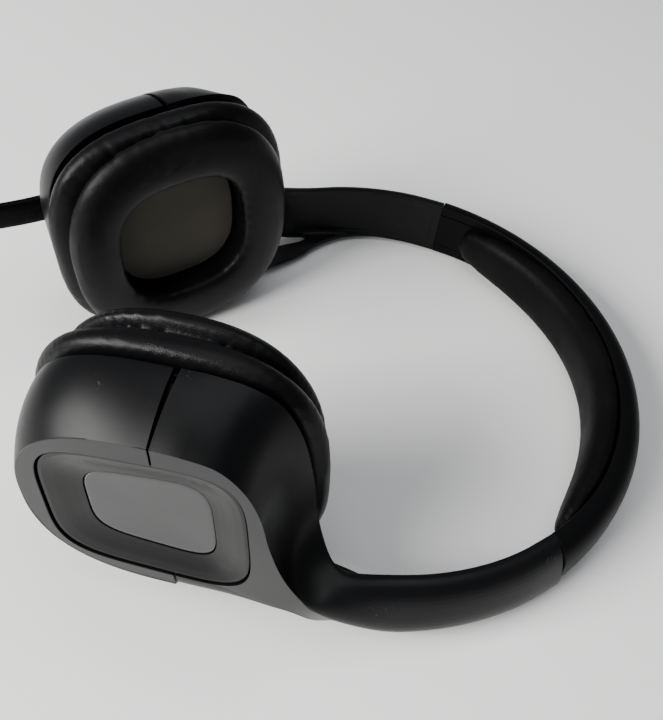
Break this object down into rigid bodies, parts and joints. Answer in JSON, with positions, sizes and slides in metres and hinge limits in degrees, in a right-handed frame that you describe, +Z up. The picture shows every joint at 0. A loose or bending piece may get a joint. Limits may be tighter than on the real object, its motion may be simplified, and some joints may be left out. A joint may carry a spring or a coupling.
{
  "type": "headset",
  "caption": "Over-ear office headset with a padded band, sliding yoke arms, tilting ear cups and a swinging microphone boom, lying on its side.",
  "frame": {"origin": "bottom centre of the bounding box, on the surface that the headset lies on", "axes": "+X towards the crown of the headband, +Y towards the ear cup with the microphone boom, +Z up as it lies on its side"},
  "size_m": [0.2786, 0.188, 0.0872],
  "materials": {
    "shell": "satin black",
    "face": "satin grey",
    "gloss": "glossy grey",
    "leatherette": "black synthetic leather",
    "cloth": "fine knitted cloth",
    "inner": "moulded",
    "steel": "plain",
    "board": "circuit board",
    "cell": "foil pouch",
    "film": "thin film"
  },
  "bodies": {
    "headband": {"band_outer_shell": "shell", "band_inner_cover": "inner", "band_spring": "steel", "band_ribbon_cable": "film", "head_pad": "leatherette", "right_detent_spring": "steel", "left_detent_spring": "steel"},
    "right_arm": {"right_yoke_arm": "shell", "right_arm_inner_cover": "shell", "right_slide_tongue": "steel", "right_upper_pivot_pin": "steel", "right_lower_pivot_pin": "steel"},
    "right_cup": {"right_front_shell": "shell", "right_cup_housing": "inner", "right_baffle": "inner", "right_upper_baffle_screw": "steel", "right_lower_baffle_screw": "steel", "right_driver_basket": "inner", "right_driver_magnet": "steel", "right_driver_diaphragm": "film", "right_cushion_ring": "inner", "right_ear_cushion": "leatherette", "right_grille_cloth": "cloth", "right_outer_plate": "face", "right_button_switch": "steel", "battery": "cell"},
    "left_arm": {"left_yoke_arm": "shell", "left_arm_inner_cover": "shell", "left_slide_tongue": "steel", "left_upper_pivot_pin": "steel", "left_lower_pivot_pin": "steel"},
    "left_cup": {"left_front_shell": "shell", "left_cup_housing": "inner", "left_baffle": "inner", "left_upper_baffle_screw": "steel", "left_lower_baffle_screw": "steel", "left_driver_basket": "inner", "left_driver_magnet": "steel", "left_driver_diaphragm": "film", "left_cushion_ring": "inner", "left_ear_cushion": "leatherette", "left_grille_cloth": "cloth", "left_outer_plate": "face", "left_centre_cap": "gloss", "main_board": "board", "boom_pivot_post": "steel", "boom_washer": "film", "charging_socket": "steel"},
    "centre_button": {"right_centre_button": "gloss"},
    "volume_rocker": {"volume_rocker": "face"},
    "mute_button": {"mute_button": "face"},
    "power_switch": {"power_switch": "face"},
    "boom": {"boom_hub": "shell", "boom_arm": "shell", "mic_shell": "inner", "mic_capsule": "steel"}
  },
  "joints": [
    {"name": "right_arm_extension", "type": "hinge", "parent": "headband", "child": "right_arm", "pos_m": [0.04584, 0, 0.01338], "axis": [-0.0262, 0, -0.9997], "range_deg": [0, 10.5]},
    {"name": "right_cup_tilt", "type": "hinge", "parent": "right_arm", "child": "right_cup", "pos_m": [-0.02018, -0.071, 0.04491], "axis": [-0.0644, 0.0372, 0.9972], "range_deg": [-1, 4]},
    {"name": "left_arm_extension", "type": "hinge", "parent": "headband", "child": "left_arm", "pos_m": [0.04584, 0, 0.01338], "axis": [0.0262, 0, 0.9997], "range_deg": [0, 10.5]},
    {"name": "left_cup_tilt", "type": "hinge", "parent": "left_arm", "child": "left_cup", "pos_m": [-0.02018, 0.071, 0.04491], "axis": [0.0644, 0.0372, -0.9972], "range_deg": [-1, 4]},
    {"name": "centre_button_press", "type": "slide", "parent": "right_cup", "child": "centre_button", "axis": [0.3801, 0.9249, -0.01], "range_m": [0, 0.0007], "stiffness_N_per_m": 900, "springref_m": -0.0004},
    {"name": "boom_swing", "type": "hinge", "parent": "left_cup", "child": "boom", "pos_m": [-0.0325, 0.07551, 0.04027], "axis": [-0.3801, 0.9249, 0.01], "range_deg": [-15, 140]},
    {"name": "volume_rock", "type": "hinge", "parent": "left_cup", "child": "volume_rocker", "pos_m": [-0.02937, 0.05915, 0.00607], "axis": [-0.2482, 0.8915, 0.379], "range_deg": [-4, 4], "stiffness_Nm_per_rad": 0.03},
    {"name": "mute_press", "type": "slide", "parent": "left_cup", "child": "mute_button", "axis": [0.2896, -0.3055, 0.9071], "range_m": [0, 0.0006], "stiffness_N_per_m": 800, "springref_m": -0.0004},
    {"name": "power_slide", "type": "slide", "parent": "left_cup", "child": "power_switch", "axis": [-0.8696, -0.361, 0.3368], "range_m": [0, 0.0012]}
  ]
}
